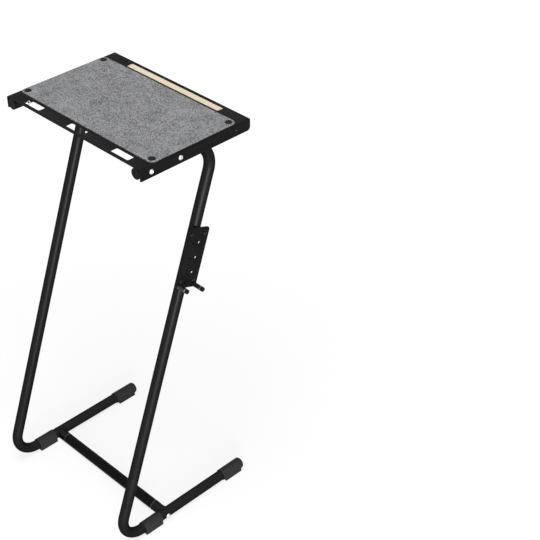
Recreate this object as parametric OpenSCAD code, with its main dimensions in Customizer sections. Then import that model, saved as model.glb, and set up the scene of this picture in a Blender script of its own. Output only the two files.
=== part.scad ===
// Stand-up desk for an indoor bike trainer: a folded sheet top on two Z-bent tube frames.
// Z is up and the floor is z = 0. X runs along the tabletop and +Y points to the rider.
// The origin is on the floor, midway between the frames and midway along the four feet.

/* [Tabletop] */
// Width of the tabletop over its side flanges
top_w = 500; // [440:1:600]
// Depth of the tabletop, from its plain edge to its nose
top_d = 342; // [320:1:400]
// Height of the tabletop's upper face above the floor
top_h = 1113; // [950:1:1250]
// Distance of the plain edge from the origin, away from the rider
top_setback = 118.5; // [100:0.5:140]
// Thickness of the folded sheet
sheet_t = 2.5; // [1.5:0.1:3]
// Height of the side flanges, upper face included
flange_h = 31.5; // [30:0.5:45]
// Inner radius of the folds along the side flanges
fold_r = 0.5; // [0.3:0.1:2]
// Inner radius of the fold along the nose
nose_r = 6.5; // [3:0.5:7]
// Height of the nose's face, upper face included
nose_h = 25.5; // [20:0.5:30]
// Radius of the side flanges' lower corner at the nose
flange_far_r = 9.5; // [2:0.5:10]
// Radius of the side flanges' lower corner at the plain edge
flange_near_r = 2; // [1:0.5:8]

/* [Slots] */
// Length of each strap slot
slot_l = 62; // [40:1:80]
// Width of each strap slot
slot_w = 20.5; // [12:0.5:26]
// Corner radius of the strap slots
slot_r = 4; // [2:0.5:6]
// Distance between the strap slots' centres
slot_pitch = 165; // [120:1:180]
// Number of strap slots
slot_count = 3; // [1:1:3]
// Distance from the plain edge to the strap slots
slot_edge = 9.5; // [6:0.5:14]
// Length of the device slot
device_slot_l = 340; // [200:1:400]
// Width of the device slot
device_slot_w = 21; // [14:0.5:26]
// Corner radius of the device slot
device_slot_r = 5; // [2:0.5:7]
// Distance from the nose to the device slot
device_slot_edge = 10; // [9.5:0.5:16]

/* [Wood bar] */
// Width of the wood bar, along the tabletop's depth
bar_w = 54; // [48:1:64]
// Thickness of the wood bar
bar_t = 26; // [22:1:30]
// Tilt of the groove's floor, which is the lean of the device
rest_angle = 18; // [8:1:25]
// Clearance between the wood bar's ends and the side flanges
bar_fit = 0.2; // [0.1:0.1:1]
// Distance of the bar screws from the bar's edge away from the rider
bar_screw_inset = 17; // [10:1:24]
// Head diameter of the bar screws
bar_screw_head_d = 5; // [5:0.5:9]
// Head height of the bar screws
bar_screw_head_h = 2; // [1.5:0.5:4]
// Flats of the hex socket in the bar screws
bar_screw_hex = 2; // [1.5:0.5:2.5]
// Shank diameter of the bar screws
bar_screw_d = 3.5; // [2.5:0.5:4.5]
// Length of the bar screws under their heads
bar_screw_l = 25; // [15:1:40]
// Clearance of the bar screws in the side flanges
bar_screw_fit = 0.2; // [0.1:0.1:0.5]

/* [Felt mat] */
// Margin between the felt mat and the sides of the tabletop
mat_side = 4; // [2:0.5:30]
// Distance from the felt mat to the nose
mat_nose_edge = 39.5; // [34:0.5:60]
// Thickness of the felt mat
mat_t = 3; // [2:0.5:6]
// Corner radius of the felt mat
mat_r = 13; // [4:1:30]
// Distance from the plain edge to the felt mat
mat_edge = 37; // [31:0.5:40]
// Diameter of the studs that hold the felt mat
stud_d = 18; // [12:1:24]
// Distance of the studs' centres from the mat's edges
stud_inset = 14; // [13:0.5:30]
// Height of the studs above the mat
stud_proud = 0.4; // [0.2:0.1:2]
// Edge chamfer of the studs
stud_chamfer = 0.6; // [0.2:0.1:1]
// Clearance between a stud and its hole in the mat
stud_fit = 0.2; // [0.1:0.1:1]

/* [Tube frames] */
// Outer diameter of all the tubes
tube_d = 28.6; // [24:0.1:30]
// Wall thickness of all the tubes
tube_wall = 1.5; // [1:0.1:3]
// Bend radius on the tubes' centre line
bend_r = 60; // [50:1:70]
// Lean of the uprights towards the rider, in degrees from vertical
lean = 20.1; // [15:0.1:24]
// Distance from the origin to the corner of the upright's and the runner's centre lines
heel_reach = 264; // [250:1:280]
// Gap between the top bars and the side flanges, filled by the spacers
flange_gap = 1.1; // [0.8:0.1:4]
// Thickness of the top bar plugs' rims
plug_t = 2; // [1:0.5:5]
// Depth of the top bar plugs inside the tube
plug_l = 14; // [8:1:30]
// Clearance of plugs and sleeves on the tubes
tube_fit = 0.1; // [0.05:0.05:0.3]

/* [Crossbar] */
// Distance of the crossbar from the origin, away from the rider
crossbar_setback = 97.5; // [60:0.5:100]
// Length of the stub welded to each runner
stub_l = 27; // [15:1:60]
// Thickness of the rings between the stubs and the crossbar
ring_t = 1.6; // [1:0.2:5]
// Amount by which the rings stand out of the tube
ring_proud = 0.3; // [0.1:0.1:1.5]
// Length of the threaded insert in each end of the crossbar
insert_l = 22; // [12:1:60]

/* [Feet] */
// Length of the stance, over the flat soles of the feet
stance_l = 350; // [345:1:380]
// Length of each flat sole
sole_l = 58; // [30:1:62]
// Thickness of the rubber round the tube
foot_t = 2; // [1.5:0.5:6]
// Length of the toe cap's collar beyond its sole
toe_collar = 6.5; // [2:0.5:20]
// Length of the toe cap's closed end beyond its sole
toe_tip = 11; // [8:0.5:20]
// Edge radius of the toe cap's closed end
toe_tip_r = 7; // [3:0.5:8]
// Thickness of the toe cap's closed end
toe_wall = 4; // [3:0.5:6]

/* [Bolts] */
// Thread diameter of the frame bolts
bolt_d = 8; // [6:1:9]
// Head diameter of the frame bolts
bolt_head_d = 13; // [12:0.5:18]
// Head height of the frame bolts
bolt_head_h = 4.4; // [3:0.1:6]
// Flats of the hex socket in the frame bolts
bolt_hex = 5; // [3:0.5:6]
// Clearance of the frame bolts in their holes
bolt_fit = 0.25; // [0.1:0.05:0.5]
// Distance of the first flange bolt from the plain edge
bolt_first = 32.5; // [25:0.5:50]
// Distance between the two flange bolts of one side
bolt_pitch = 88; // [60:0.5:110]
// Flats of the nuts on the flange bolts
nut_hex = 13; // [11:0.5:17]
// Height of the nuts on the flange bolts
nut_h = 8; // [5:0.5:10]
// Outer diameter of the washers under the nuts
washer_d = 16; // [15.5:0.5:20]
// Thickness of the washers under the nuts
washer_t = 1.6; // [1:0.2:3]
// Length of the flange bolts beyond their nuts
bolt_tip = 3.5; // [1:0.5:6]
// Outer diameter of the spacers between top bars and flanges
spacer_d = 16; // [12:0.5:20]

/* [Accessory plate] */
// Width of the accessory plate
plate_w = 69.5; // [64:0.5:80]
// Length of the accessory plate
plate_l = 160; // [150:1:200]
// Thickness of the accessory plate
plate_t = 3; // [2:0.5:5]
// Corner radius of the accessory plate
plate_r = 8; // [4:0.5:12]
// Distance along the upright from the runner's centre line to the plate's centre
plate_at = 841.5; // [400:0.5:950]
// Gap between the upright and the accessory plate
plate_gap = 0.6; // [0.3:0.1:3]
// Diameter of the holes in the accessory plate
hole_d = 6.5; // [4:0.5:9]
// Distance between the two columns of holes
hole_cols = 20; // [14:0.5:24]
// Distance between the rows of holes
hole_rows = 39.5; // [20:0.5:44]
// Number of rows of holes
hole_row_count = 3; // [1:1:3]
// Distance between the two columns of plate screws
plate_screw_cols = 44; // [42:0.5:46]
// Distance between the two rows of plate screws
plate_screw_rows = 124; // [110:0.5:128]
// Thread diameter of the plate screws
plate_screw_d = 5; // [4:0.5:5]
// Head diameter of the plate screws
plate_screw_head_d = 9.5; // [8:0.5:11]
// Head height of the plate screws
plate_screw_head_h = 2.8; // [2:0.2:4]
// Flats of the hex socket in the plate screws
plate_screw_hex = 3; // [2:0.5:3]
// Thickness of the ears that carry the plate
ear_t = 5; // [3:0.5:8]
// Width of the ears along the upright
ear_w = 14; // [12:0.5:20]
// Reach of the ears from the tube's centre line
ear_reach = 30; // [28:0.5:32]

/* [Pegs] */
// Diameter of the pegs
peg_d = 12; // [8:0.5:14]
// Length of the pegs out of the plate
peg_l = 35; // [25:1:60]
// Distance between the two pegs
peg_pitch = 53; // [50:0.5:57]
// Distance of the pegs from the plate's lower edge
peg_inset = 7; // [5.5:0.5:8]
// Length of the pegs' end caps
peg_cap_l = 7; // [4:0.5:15]
// Edge radius of the pegs' end caps
peg_cap_r = 1.6; // [0.5:0.1:3]
// Length of the bright rings under the end caps
peg_ring_l = 1.6; // [0.8:0.2:4]
// Depth of the bright rings under the pegs' surface
peg_ring_step = 0.4; // [0.2:0.1:1]
// Diameter of the spigots that hold the pegs in the plate
spigot_d = 6; // [4:0.5:7]
// Clearance between a spigot and its hole
spigot_fit = 0.1; // [0.05:0.05:0.3]

/* [Hidden] */

$fn = 64;
eps = 0.01;
// Overlap of a cut past the faces that it cuts
cut = 1;
// Hair-thin bands where the upright meets its bends, which keep each tube in one piece
band_t = 0.05;
band_w = 1;
// Depth of the solid under a hex socket, as a share of the head's height
socket_share = 0.45;
side_left = -1;
side_right = 1;

// Colours
black_coat = [0.13, 0.13, 0.14];
black_rubber = [0.2, 0.2, 0.21];
bright_steel = [0.82, 0.83, 0.85];
maple = [0.93, 0.8, 0.58];
grey_felt = [0.55, 0.55, 0.56];

// Tabletop in the row frame
plain_y = -top_setback;
nose_y = plain_y + top_d;
sheet_under = top_h - sheet_t;

// Tubes: the centre lines of one side lie in the plane x = frame_x
tube_r = tube_d / 2;
bore_r = tube_r - tube_wall;
frame_x = top_w / 2 - sheet_t - flange_gap - tube_r;
runner_z = foot_t + tube_r;
heel_y = -heel_reach;
top_bar_z = sheet_under - tube_r;
turn = 90 + lean;
bend_tangent = bend_r * tan(turn / 2);
upright_l = (top_bar_z - runner_z) / cos(lean);
shoulder_y = heel_y + upright_l * sin(lean);
runner_start = heel_y + bend_tangent;
top_bar_start = shoulder_y - bend_tangent;
top_bar_end = plain_y + plug_t;

// Soles and toe caps
sole_end = stance_l / 2;
runner_end = sole_end + toe_tip - toe_wall;
foot_r = tube_r + foot_t;

// Crossbar
crossbar_y = -crossbar_setback;
stub_end = frame_x - tube_r - stub_l;
crossbar_half = stub_end - ring_t;

// Flange bolts sit on the top bars' centre lines
bolt_ys = [plain_y + bolt_first, plain_y + bolt_first + bolt_pitch];
flange_out = top_w / 2;
flange_in = flange_out - sheet_t;
bolt_hole_r = bolt_d / 2 + bolt_fit;

// Wood bar and its groove
bar_y1 = nose_y - sheet_t - nose_r;
bar_y0 = bar_y1 - bar_w;
bar_half = flange_in - bar_fit;
device_y1 = nose_y - device_slot_edge;
device_y0 = device_y1 - device_slot_w;
groove_depth = device_slot_w * tan(rest_angle);
bar_screw_y = bar_y0 + bar_screw_inset;
bar_screw_z = sheet_under - bar_t / 2;
bar_screw_hole_r = bar_screw_d / 2 + bar_screw_fit;

// Felt mat
mat_w = top_w - 2 * mat_side;
mat_d = top_d - mat_edge - mat_nose_edge;
mat_y0 = plain_y + mat_edge;
mat_centre_y = mat_y0 + mat_d / 2;
stud_x = mat_w / 2 - stud_inset;
stud_y = mat_d / 2 - stud_inset;

// Accessory plate, in the frame of the right upright
plate_in = tube_r + plate_gap;
plate_out = plate_in + plate_t;
peg_up = peg_inset - plate_l / 2;
peg_body_l = peg_l - peg_ring_l - peg_cap_l;

// Rectangle with rounded corners, centred, made of squares and circles
module rounded_rect(w, d, r) {
    square([w - 2 * r, d], center = true);
    square([w, d - 2 * r], center = true);
    for (sx = [-1, 1], sy = [-1, 1]) translate([sx * (w / 2 - r), sy * (d / 2 - r)]) circle(r);
}

// Cylinder along +X from the origin
module rod_x(r, l) {
    rotate([0, 90, 0]) cylinder(r = r, h = l);
}

// Cylinder along +Y from the origin
module rod_y(r, l) {
    rotate([-90, 0, 0]) cylinder(r = r, h = l);
}

// Puts a shape drawn on the right on the side asked for
module on_side(side) {
    if (side == side_right) children();
    else mirror([1, 0, 0]) children();
}

// Frame of the right upright: z runs up along it, y across it and x out of the desk
module on_upright(along) {
    translate([frame_x, heel_y, runner_z]) rotate([-lean, 0, 0]) translate([0, 0, along]) children();
}

// Button head with a hex socket, its seat at x = 0 and its crown towards +X
module button_head(d, h, hex) {
    crown_r = (d * d / 4 + h * h) / (2 * h);
    socket_r = hex / 2 / cos(30);
    rotate([0, 90, 0]) difference() {
        rotate_extrude() intersection() {
            square([d / 2, h]);
            translate([0, h - crown_r]) circle(crown_r);
        }
        translate([0, 0, h * socket_share]) cylinder(r = socket_r, h = h, $fn = 6);
    }
}

// Solid bar along the frame's bent centre line, from the plug to the toe
module frame_path(r, extra) {
    translate([0, runner_start, runner_z]) rod_y(r, runner_end - runner_start + extra);
    translate([0, runner_start, runner_z + bend_r]) rotate([0, 90, 0]) rotate([180, 0, 0])
        rotate_extrude(angle = turn) translate([bend_r, 0]) circle(r);
    translate([0, heel_y, runner_z]) rotate([-lean, 0, 0]) {
        translate([0, 0, bend_tangent]) cylinder(r = r, h = upright_l - 2 * bend_tangent);
        for (z = [bend_tangent, upright_l - bend_tangent])
            translate([0, 0, z - band_w / 2]) cylinder(r = r + band_t, h = band_w);
    }
    translate([0, top_bar_start, top_bar_z - bend_r]) rotate([0, -90, 0])
        rotate_extrude(angle = turn) translate([bend_r, 0]) circle(r);
    translate([0, top_bar_end - extra, top_bar_z]) rod_y(r, top_bar_start - top_bar_end + extra);
}

module frame_tube(side) {
    color(black_coat) on_side(side) translate([frame_x, 0, 0]) difference() {
        frame_path(tube_r, 0);
        frame_path(bore_r, cut);
        for (y = bolt_ys) translate([-tube_d, y, top_bar_z]) rod_x(bolt_hole_r, 2 * tube_d);
        translate([-tube_d, crossbar_y, runner_z]) rod_x(bolt_hole_r, 2 * tube_d);
    }
}

module top_bar_plug(side) {
    color(black_rubber) on_side(side) translate([frame_x, plain_y, top_bar_z]) {
        rod_y(tube_r, plug_t);
        rod_y(bore_r - tube_fit, plug_t + plug_l);
    }
}

// Outline of the tabletop seen along X. Inset 0 is the outside and sheet_t the inside,
// which runs past the plain edge and past the flanges' lower edges
module top_profile(inset, past) {
    r = nose_r + sheet_t - inset;
    y0 = plain_y - past;
    y1 = nose_y - inset;
    z0 = top_h - flange_h - past;
    z1 = top_h - inset;
    difference() {
        translate([y0, z0]) square([y1 - y0, z1 - z0]);
        translate([y1 - r, z1 - r]) difference() {
            square(2 * r);
            circle(r);
        }
    }
}

// Outline of the tabletop seen along Y, folds rounded
module top_section(inset, past) {
    r = fold_r + sheet_t - inset;
    half = top_w / 2 - inset;
    z0 = top_h - flange_h - past;
    z1 = top_h - inset;
    translate([-half, z0]) square([2 * half, z1 - r - z0]);
    translate([-half + r, z1 - r - eps]) square([2 * (half - r), r + eps]);
    for (sx = [-1, 1]) translate([sx * (half - r), z1 - r]) circle(r);
}

// Solid of the tabletop's outside or inside: both outlines, crossed
module top_block(inset, past) {
    intersection() {
        translate([0, nose_y + cut, 0]) rotate([90, 0, 0])
            linear_extrude(top_d + 2 * cut + past) top_section(inset, past);
        translate([-top_w, 0, 0]) rotate([90, 0, 90])
            linear_extrude(2 * top_w) top_profile(inset, past);
    }
}

// Waste outside the rounded lower corner of a side flange
module flange_corner(y, r, sy) {
    translate([-top_w, y, top_h - flange_h]) rotate([90, 0, 90]) linear_extrude(2 * top_w) difference() {
        translate([sy > 0 ? -r : -cut, -cut]) square(r + cut);
        translate([-sy * r, r]) circle(r);
    }
}

module tabletop() {
    color(black_coat) difference() {
        top_block(0, 0);
        top_block(sheet_t, cut);
        flange_corner(nose_y, flange_far_r, 1);
        flange_corner(plain_y, flange_near_r, -1);
        translate([-flange_in, nose_y - sheet_t - nose_r, top_h - flange_h - cut])
            cube([2 * flange_in, sheet_t + nose_r + cut, flange_h - nose_h + cut]);
        for (i = [0 : slot_count - 1])
            translate([
                (i - (slot_count - 1) / 2) * slot_pitch,
                plain_y + slot_edge + slot_w / 2,
                sheet_under - cut
            ]) linear_extrude(sheet_t + 2 * cut) rounded_rect(slot_l, slot_w, slot_r);
        translate([0, (device_y0 + device_y1) / 2, sheet_under - cut])
            linear_extrude(sheet_t + 2 * cut) rounded_rect(device_slot_l, device_slot_w, device_slot_r);
        for (y = bolt_ys) translate([-top_w, y, top_bar_z]) rod_x(bolt_hole_r, 2 * top_w);
        translate([-top_w, bar_screw_y, bar_screw_z]) rod_x(bar_screw_hole_r, 2 * top_w);
    }
}

module wood_bar() {
    color(maple) difference() {
        translate([-bar_half, bar_y0, sheet_under - bar_t]) cube([2 * bar_half, bar_w, bar_t]);
        translate([-device_slot_l / 2, 0, sheet_under]) rotate([90, 0, 90]) linear_extrude(device_slot_l)
            polygon([[device_y0, -groove_depth], [device_y1, 0], [device_y1, cut], [device_y0, cut]]);
        for (side = [-1, 1]) translate([side * bar_half, bar_screw_y, bar_screw_z])
            rotate([0, side * 90, 0]) translate([0, 0, -bar_screw_l])
                cylinder(d = bar_screw_d, h = bar_screw_l + cut);
    }
}

module bar_screw(side) {
    color(bright_steel) on_side(side) translate([flange_out, bar_screw_y, bar_screw_z]) {
        button_head(bar_screw_head_d, bar_screw_head_h, bar_screw_hex);
        translate([-bar_screw_l, 0, 0]) rod_x(bar_screw_d / 2, bar_screw_l + eps);
    }
}

module felt_mat() {
    color(grey_felt) translate([0, mat_centre_y, top_h]) linear_extrude(mat_t) difference() {
        rounded_rect(mat_w, mat_d, mat_r);
        for (sx = [-1, 1], sy = [-1, 1]) translate([sx * stud_x, sy * stud_y]) circle(stud_d / 2 + stud_fit);
    }
}

module mat_studs() {
    h = mat_t + stud_proud;
    color(black_rubber) for (sx = [-1, 1], sy = [-1, 1])
        translate([sx * stud_x, mat_centre_y + sy * stud_y, top_h]) {
            cylinder(d = stud_d, h = h - stud_chamfer);
            translate([0, 0, h - stud_chamfer])
                cylinder(d1 = stud_d, d2 = stud_d - 2 * stud_chamfer, h = stud_chamfer);
        }
}

// Two bolts from the side flange through the spacer and the top bar into washer and nut
module flange_bolts(side) {
    shank = sheet_t + flange_gap + tube_d + washer_t + nut_h + bolt_tip;
    color(bright_steel) on_side(side) for (y = bolt_ys) translate([flange_out, y, top_bar_z]) {
        button_head(bolt_head_d, bolt_head_h, bolt_hex);
        translate([-shank, 0, 0]) rod_x(bolt_d / 2, shank + eps);
    }
}

module flange_nuts(side) {
    color(bright_steel) on_side(side) for (y = bolt_ys)
        translate([frame_x - tube_r - washer_t - nut_h, y, top_bar_z]) difference() {
            rotate([0, 90, 0]) cylinder(d = nut_hex / cos(30), h = nut_h, $fn = 6);
            translate([-cut, 0, 0]) rod_x(bolt_d / 2, nut_h + 2 * cut);
        }
}

module flange_washers(side) {
    color(bright_steel) on_side(side) for (y = bolt_ys)
        translate([frame_x - tube_r - washer_t, y, top_bar_z]) difference() {
            rod_x(washer_d / 2, washer_t);
            translate([-cut, 0, 0]) rod_x(bolt_hole_r, washer_t + 2 * cut);
        }
}

module flange_spacers(side) {
    color(black_coat) on_side(side) for (y = bolt_ys)
        translate([flange_in - flange_gap, y, top_bar_z]) difference() {
            rod_x(spacer_d / 2, flange_gap);
            translate([-cut, 0, 0]) rod_x(bolt_hole_r, flange_gap + 2 * cut);
        }
}

// Short tube welded to the runner, its end coped to the runner's round side
module stub(side) {
    color(black_coat) on_side(side) difference() {
        translate([stub_end, crossbar_y, runner_z]) rod_x(tube_r, frame_x - stub_end);
        translate([stub_end - cut, crossbar_y, runner_z]) rod_x(bore_r, frame_x - stub_end + 2 * cut);
        translate([frame_x, crossbar_y - tube_d, runner_z]) rod_y(tube_r, 2 * tube_d);
    }
}

// Tube between the stubs, with a threaded insert in each end
module crossbar() {
    color(black_coat) translate([0, crossbar_y, runner_z]) difference() {
        translate([-crossbar_half, 0, 0]) rod_x(tube_r, 2 * crossbar_half);
        translate([-crossbar_half + insert_l, 0, 0]) rod_x(bore_r, 2 * (crossbar_half - insert_l));
        translate([-crossbar_half - cut, 0, 0]) rod_x(bolt_d / 2, 2 * (crossbar_half + cut));
    }
}

module crossbar_ring(side) {
    color(bright_steel) on_side(side) translate([crossbar_half, crossbar_y, runner_z]) difference() {
        rod_x(tube_r + ring_proud, ring_t);
        translate([-cut, 0, 0]) rod_x(bolt_hole_r, ring_t + 2 * cut);
    }
}

module crossbar_bolt(side) {
    shank = frame_x + tube_r - crossbar_half + insert_l;
    color(bright_steel) on_side(side) translate([frame_x + tube_r, crossbar_y, runner_z]) {
        button_head(bolt_head_d, bolt_head_h, bolt_hex);
        translate([-shank, 0, 0]) rod_x(bolt_d / 2, shank + eps);
    }
}

// Sleeve round the runner with a flat sole under it
module heel_foot(side) {
    color(black_rubber) on_side(side) translate([frame_x, -sole_end, runner_z]) difference() {
        union() {
            rod_y(foot_r, sole_l);
            translate([-foot_r, 0, -runner_z]) cube([2 * foot_r, sole_l, runner_z]);
        }
        translate([0, -cut, 0]) rod_y(tube_r + tube_fit, sole_l + 2 * cut);
    }
}

// Outline of the toe cap's round body, revolved about the runner's centre line
module toe_outline() {
    l = toe_collar + sole_l + toe_tip;
    square([foot_r, l - toe_tip_r]);
    square([foot_r - toe_tip_r, l]);
    translate([foot_r - toe_tip_r, l - toe_tip_r]) circle(toe_tip_r);
}

// Cap over the runner's end with a flat sole under it
module toe_foot(side) {
    sole_start = sole_end - sole_l;
    color(black_rubber) on_side(side) translate([frame_x, sole_start, runner_z]) difference() {
        union() {
            translate([0, -toe_collar, 0]) rotate([-90, 0, 0]) rotate_extrude() intersection() {
                toe_outline();
                square(2 * (toe_collar + sole_l + toe_tip));
            }
            translate([-foot_r, 0, -runner_z]) cube([2 * foot_r, sole_l, runner_z]);
        }
        translate([0, -toe_collar - cut, 0])
            rod_y(tube_r + tube_fit, toe_collar + cut + runner_end - sole_start + tube_fit);
    }
}

// Four ears welded to the right upright's flanks, threaded for the plate screws
module plate_ears() {
    color(black_coat) on_upright(plate_at) for (sy = [-1, 1], sz = [-1, 1])
        translate([0, 0, sz * plate_screw_rows / 2]) difference() {
            translate([plate_in - ear_t, sy > 0 ? 0 : -ear_reach, -ear_w / 2]) cube([ear_t, ear_reach, ear_w]);
            translate([0, 0, -ear_w]) cylinder(r = tube_r, h = 2 * ear_w);
            translate([0, -tube_r / 2, -ear_w]) cube([2 * tube_d, tube_r, 2 * ear_w]);
            translate([0, sy * plate_screw_cols / 2, 0]) rod_x(plate_screw_d / 2, 2 * tube_d);
        }
}

module accessory_plate() {
    color(black_coat) on_upright(plate_at) difference() {
        translate([plate_in, 0, 0]) rotate([90, 0, 90])
            linear_extrude(plate_t) rounded_rect(plate_w, plate_l, plate_r);
        for (sy = [-1, 1], row = [0 : hole_row_count - 1])
            translate([0, sy * hole_cols / 2, (row - (hole_row_count - 1) / 2) * hole_rows])
                rod_x(hole_d / 2, 2 * tube_d);
        for (sy = [-1, 1], sz = [-1, 1])
            translate([0, sy * plate_screw_cols / 2, sz * plate_screw_rows / 2])
                rod_x(plate_screw_d / 2 + bolt_fit, 2 * tube_d);
        for (sy = [-1, 1]) translate([0, sy * peg_pitch / 2, peg_up]) rod_x(spigot_d / 2 + spigot_fit, 2 * tube_d);
    }
}

module plate_screws() {
    shank = plate_t + ear_t;
    color(black_coat) on_upright(plate_at) for (sy = [-1, 1], sz = [-1, 1])
        translate([plate_out, sy * plate_screw_cols / 2, sz * plate_screw_rows / 2]) {
            button_head(plate_screw_head_d, plate_screw_head_h, plate_screw_hex);
            translate([-shank, 0, 0]) rod_x(plate_screw_d / 2, shank + eps);
        }
}

// Peg body on the plate, its spigot through the plate
module peg(sy) {
    color(black_coat) on_upright(plate_at) translate([plate_out, sy * peg_pitch / 2, peg_up]) {
        rod_x(peg_d / 2, peg_body_l);
        translate([-plate_t, 0, 0]) rod_x(spigot_d / 2, plate_t + eps);
    }
}

module peg_rings() {
    color(bright_steel) on_upright(plate_at) for (sy = [-1, 1])
        translate([plate_out + peg_body_l, sy * peg_pitch / 2, peg_up]) rod_x(peg_d / 2 - peg_ring_step, peg_ring_l);
}

module peg_caps() {
    r = peg_d / 2;
    color(black_rubber) on_upright(plate_at) for (sy = [-1, 1])
        translate([plate_out + peg_l - peg_cap_l, sy * peg_pitch / 2, peg_up]) rotate([0, 90, 0]) rotate_extrude()
            intersection() {
                union() {
                    square([r, peg_cap_l - peg_cap_r]);
                    square([r - peg_cap_r, peg_cap_l]);
                    translate([r - peg_cap_r, peg_cap_l - peg_cap_r]) circle(peg_cap_r);
                }
                square(2 * peg_l);
            }
}

frame_tube(side_left);  // frame_left
frame_tube(side_right);  // frame_right
top_bar_plug(side_left);  // top_bar_plug_left
top_bar_plug(side_right);  // top_bar_plug_right
tabletop();
wood_bar();
bar_screw(side_left);  // bar_screw_left
bar_screw(side_right);  // bar_screw_right
felt_mat();
mat_studs();
flange_bolts(side_left);  // flange_bolts_left
flange_bolts(side_right);  // flange_bolts_right
flange_nuts(side_left);  // flange_nuts_left
flange_nuts(side_right);  // flange_nuts_right
flange_washers(side_left);  // flange_washers_left
flange_washers(side_right);  // flange_washers_right
flange_spacers(side_left);  // flange_spacers_left
flange_spacers(side_right);  // flange_spacers_right
stub(side_left);  // stub_left
stub(side_right);  // stub_right
crossbar();
crossbar_ring(side_left);  // crossbar_ring_left
crossbar_ring(side_right);  // crossbar_ring_right
crossbar_bolt(side_left);  // crossbar_bolt_left
crossbar_bolt(side_right);  // crossbar_bolt_right
heel_foot(side_left);  // heel_foot_left
heel_foot(side_right);  // heel_foot_right
toe_foot(side_left);  // toe_foot_left
toe_foot(side_right);  // toe_foot_right
plate_ears();
accessory_plate();
plate_screws();
peg(1);  // peg_front
peg(-1);  // peg_rear
peg_rings();
peg_caps();
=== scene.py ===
# %% [markdown]
# # A stand-up desk for riding indoors
#
# The desk stands over the front wheel of a bike that is held in a trainer. Two bent steel
# tubes carry a folded sheet-metal top, which holds a wooden bar with a groove for a phone
# and a felt mat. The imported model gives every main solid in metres, so this file adds
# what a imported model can't hold: the finishes, the soft mat, the welds and the fine edges.

import math

import bmesh
import bpy
from mathutils import Matrix, Vector, noise


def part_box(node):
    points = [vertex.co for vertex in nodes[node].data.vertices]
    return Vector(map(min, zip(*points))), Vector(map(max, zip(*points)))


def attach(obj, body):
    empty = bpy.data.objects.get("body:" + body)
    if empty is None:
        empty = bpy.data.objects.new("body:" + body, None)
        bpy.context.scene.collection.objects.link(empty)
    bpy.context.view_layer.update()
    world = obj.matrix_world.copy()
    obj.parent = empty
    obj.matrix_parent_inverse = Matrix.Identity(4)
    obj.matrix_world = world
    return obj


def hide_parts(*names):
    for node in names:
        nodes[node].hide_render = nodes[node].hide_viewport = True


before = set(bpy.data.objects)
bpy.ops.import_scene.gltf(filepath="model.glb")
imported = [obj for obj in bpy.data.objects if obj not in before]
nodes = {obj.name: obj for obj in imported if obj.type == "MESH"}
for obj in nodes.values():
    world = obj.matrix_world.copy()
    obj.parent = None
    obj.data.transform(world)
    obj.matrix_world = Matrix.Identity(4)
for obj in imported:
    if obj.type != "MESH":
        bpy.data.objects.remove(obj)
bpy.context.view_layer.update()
MM = 0.001

# %% [markdown]
# ## Tools for objects and node trees
#
# Every object is put into the scene in the same way. The air, the floor and the finishes
# are trees of shader nodes, in which a few kinds of node come back all the time: a noise, a
# sum, a span of values and a mix of two colours. Short functions make them. Each of their
# values can be a number, a colour or what another node gives.

# %% New objects and materials
scene = bpy.context.scene


def add_object(name, data):
    """A new object in the scene, at the origin."""
    made = bpy.data.objects.new(name, data)
    scene.collection.objects.link(made)
    return made


def new_paint(name):
    """A new material, its node tree and its shader."""
    paint = bpy.data.materials.new(name)
    paint.use_nodes = True
    return paint, paint.node_tree, paint.node_tree.nodes["Principled BSDF"]


print("scene:", scene.name)

# %% Nodes and their values
MIX_A, MIX_B, MIX_RESULT = 6, 7, 2


def feed(tree, node, values):
    """Gives a node its values: what another node gives is linked, the rest is written."""
    for name, value in values.items():
        socket = node.inputs[name]
        if isinstance(value, bpy.types.NodeSocket):
            tree.links.new(value, socket)
        elif socket.type == "RGBA":
            socket.default_value = (*value, 1)
        else:
            socket.default_value = value


def object_place(tree):
    """The place on the object, in metres."""
    return tree.nodes.new("ShaderNodeTexCoord").outputs["Object"]


def add_noise(tree, vector, scale, detail=2.0, rough=0.5, distortion=0.0):
    """A noise texture's 0 to 1 value."""
    node = tree.nodes.new("ShaderNodeTexNoise")
    feed(tree, node, {
        "Vector": vector, "Scale": scale, "Detail": detail, "Roughness": rough, "Distortion": distortion
    })
    return node.outputs["Fac"]


def add_math(tree, operation, first, second):
    """A sum, product or the like of two values."""
    node = tree.nodes.new("ShaderNodeMath")
    node.operation = operation
    feed(tree, node, {0: first, 1: second})
    return node.outputs[0]


def add_range(tree, value, low, high, to_low, to_high):
    """A value spread from one span to another and held inside it."""
    node = tree.nodes.new("ShaderNodeMapRange")
    feed(tree, node, {
        "Value": value, "From Min": low, "From Max": high, "To Min": to_low, "To Max": to_high
    })
    return node.outputs["Result"]


def add_mix(tree, share, first, second):
    """A colour between two colours."""
    node = tree.nodes.new("ShaderNodeMix")
    node.data_type = "RGBA"
    feed(tree, node, {"Factor": share, MIX_A: first, MIX_B: second})
    return node.outputs[MIX_RESULT]


print("node tools ready")

# %% [markdown]
# ## Where the camera stands
#
# The photograph looks down on the desk from its front right corner. Its lines run nearly
# parallel, so it was taken with a long lens from far away. The camera below has the place,
# the direction and the lens that lay the tabletop's corners and the feet on the same spots
# of the picture.

# %% Camera
CAMERA_AT = Vector((2.27895, -1.72924, 2.66072))
AZIMUTH = math.radians(45.153)
ELEVATION = math.radians(35.246)
ROLL = math.radians(-0.118)
LENS_MM = 89.772
SENSOR_MM = 36.0

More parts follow.
